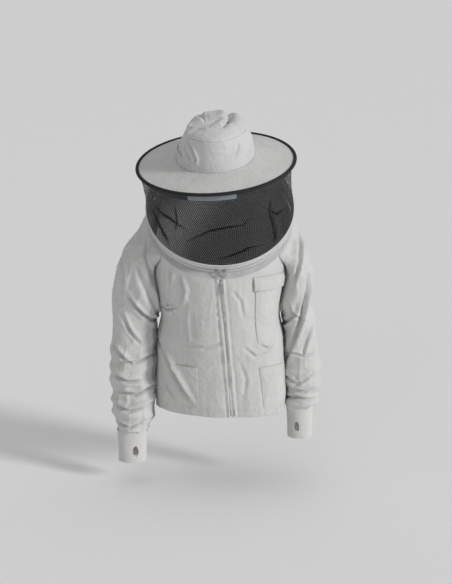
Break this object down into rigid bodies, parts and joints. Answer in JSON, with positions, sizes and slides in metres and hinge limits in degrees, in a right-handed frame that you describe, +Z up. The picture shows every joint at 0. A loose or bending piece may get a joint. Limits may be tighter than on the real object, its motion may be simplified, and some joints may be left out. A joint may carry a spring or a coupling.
{
  "type": "beekeeping jacket",
  "caption": "Cotton beekeeping jacket worn by a standing person, with knitted cuffs, an elastic hem, patch pockets and a round brimmed hat whose net veil zips on to a stand-up collar ring.",
  "frame": {"origin": "centre of the tilted ring zip that joins the veil to the jacket collar, between the wearer's shoulders", "axes": "+Z up, the wearer faces -Y, +X towards the wearer's left"},
  "size_m": [0.5857, 0.4209, 0.9691],
  "materials": {
    "cotton_twill": "matte woven",
    "knit_rib": "matte knitted rib",
    "ventilated_mesh": "matte spacer mesh",
    "veil_net": "matte fine net",
    "black_tape": "matte woven tape",
    "zip_tape": "matte woven tape",
    "nylon_coil": "satin",
    "zip_metal": "satin plated"
  },
  "bodies": {
    "jacket": {"front_panel_left": "cotton_twill", "front_panel_right": "cotton_twill", "back_panel": "cotton_twill", "side_vent_left": "ventilated_mesh", "side_vent_right": "ventilated_mesh", "sleeve_left": "cotton_twill", "sleeve_right": "cotton_twill", "sleeve_vent_left": "ventilated_mesh", "sleeve_vent_right": "ventilated_mesh", "cuff_left": "knit_rib", "cuff_right": "knit_rib", "hem_band": "cotton_twill", "collar_band": "cotton_twill", "chest_pocket": "cotton_twill", "lower_pocket_left": "cotton_twill", "lower_pocket_right": "cotton_twill", "front_coil_left": "nylon_coil", "front_coil_right": "nylon_coil", "front_tape_left": "zip_tape", "front_tape_right": "zip_tape", "zip_box": "zip_metal", "ring_coil_lower": "nylon_coil", "ring_tape_lower": "zip_tape"},
    "hood": {"ring_coil_upper": "nylon_coil", "ring_tape_upper": "zip_tape", "veil_hem_tape": "cotton_twill", "veil_piping": "cotton_twill", "veil_mesh": "veil_net", "veil_tape": "black_tape", "brim": "cotton_twill", "brim_binding": "black_tape", "crown_side": "cotton_twill", "crown_top": "cotton_twill", "sweatband": "cotton_twill"},
    "front_slider": {"front_slider": "zip_metal"},
    "front_pull": {"front_pull": "zip_metal"},
    "ring_slider_left": {"ring_slider_left": "zip_metal"},
    "ring_slider_right": {"ring_slider_right": "zip_metal"},
    "ring_pull_left": {"ring_pull_left": "zip_metal"},
    "ring_pull_right": {"ring_pull_right": "zip_metal"},
    "chest_flap": {"chest_flap": "cotton_twill"}
  },
  "joints": [
    {"name": "hood_flip", "type": "hinge", "parent": "jacket", "child": "hood", "pos_m": [0, 0.15241, 0.13484], "axis": [-1, 0, 0], "range_deg": [0, 100]},
    {"name": "front_zip", "type": "slide", "parent": "jacket", "child": "front_slider", "axis": [0.086, 0.0589, -0.9946], "range_m": [0, 0.358]},
    {"name": "front_pull_swing", "type": "hinge", "parent": "front_slider", "child": "front_pull", "pos_m": [0.00146, -0.15559, -0.1738], "axis": [-0.9963, 0.0051, -0.0858], "range_deg": [0, 80]},
    {"name": "ring_zip_left", "type": "hinge", "parent": "jacket", "child": "ring_slider_left", "pos_m": [0, 0, 0], "axis": [0, -0.6626, 0.749], "range_deg": [0, 145]},
    {"name": "ring_zip_right", "type": "hinge", "parent": "jacket", "child": "ring_slider_right", "pos_m": [0, 0, 0], "axis": [0, 0.6626, -0.749], "range_deg": [0, 145]},
    {"name": "ring_pull_left_swing", "type": "hinge", "parent": "ring_slider_left", "child": "ring_pull_left", "pos_m": [0.01068, -0.15265, -0.13506], "axis": [-0.9986, -0.0392, -0.0347], "range_deg": [0, 75]},
    {"name": "ring_pull_right_swing", "type": "hinge", "parent": "ring_slider_right", "child": "ring_pull_right", "pos_m": [-0.01068, -0.15265, -0.13506], "axis": [-0.9986, 0.0392, 0.0347], "range_deg": [0, 75]},
    {"name": "chest_flap_lift", "type": "hinge", "parent": "jacket", "child": "chest_flap", "pos_m": [0.14648, -0.10326, -0.15663], "axis": [-0.7206, -0.6933, -0.006], "range_deg": [0, 100]}
  ]
}
